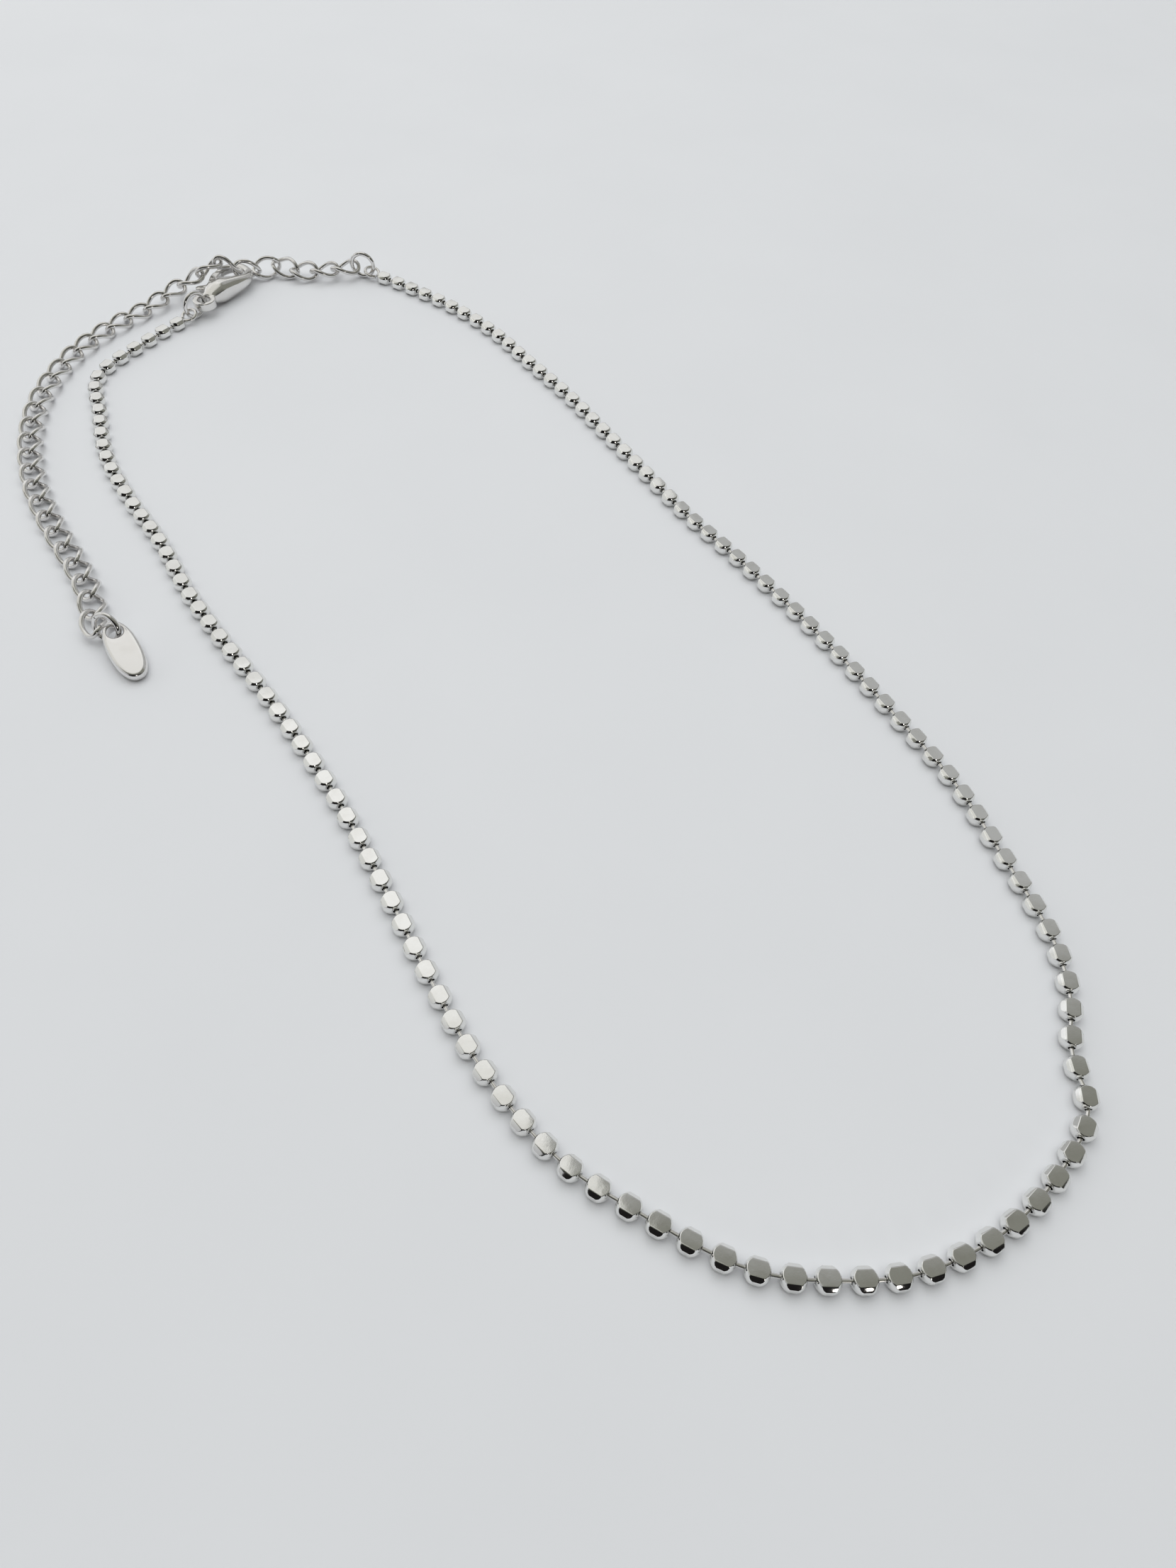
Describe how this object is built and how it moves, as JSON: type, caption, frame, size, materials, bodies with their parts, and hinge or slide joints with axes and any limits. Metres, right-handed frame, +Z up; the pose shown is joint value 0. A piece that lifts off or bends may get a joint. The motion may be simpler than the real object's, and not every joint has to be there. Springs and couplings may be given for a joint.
{
  "type": "ball chain necklace",
  "caption": "Faceted ball chain necklace with a lobster clasp, a link extender chain and an oval end tag, laid out flat.",
  "frame": {"origin": "on the table under the middle of the whole necklace's box", "axes": "+Z up from the table; +Y from the front bend towards the clasp at the back of the neck; +X towards the half whose end ring holds the extender"},
  "size_m": [0.1147, 0.1345, 0.0047],
  "materials": {
    "beads": "bright polished facets",
    "rods": "bright wire",
    "links": "bright wire",
    "findings": "bright wire",
    "clasp": "bright cast surface",
    "tag": "bright, softly polished"
  },
  "bodies": {
    "necklace": {"chain_balls": "beads", "chain_rods": "rods", "clasp_ring": "findings", "extender_ring": "findings", "extender_links": "links", "end_ring": "findings", "end_tag": "tag", "clasp_body": "clasp", "clasp_pin": "findings"},
    "lever": {"clasp_lever": "clasp"}
  },
  "joints": [
    {"name": "lever_swing", "type": "hinge", "parent": "necklace", "child": "lever", "pos_m": [-0.03998, 0.05785, 0.0015], "axis": [0, 0, 1], "range_deg": [-18, 0], "stiffness_Nm_per_rad": 0.00002}
  ]
}
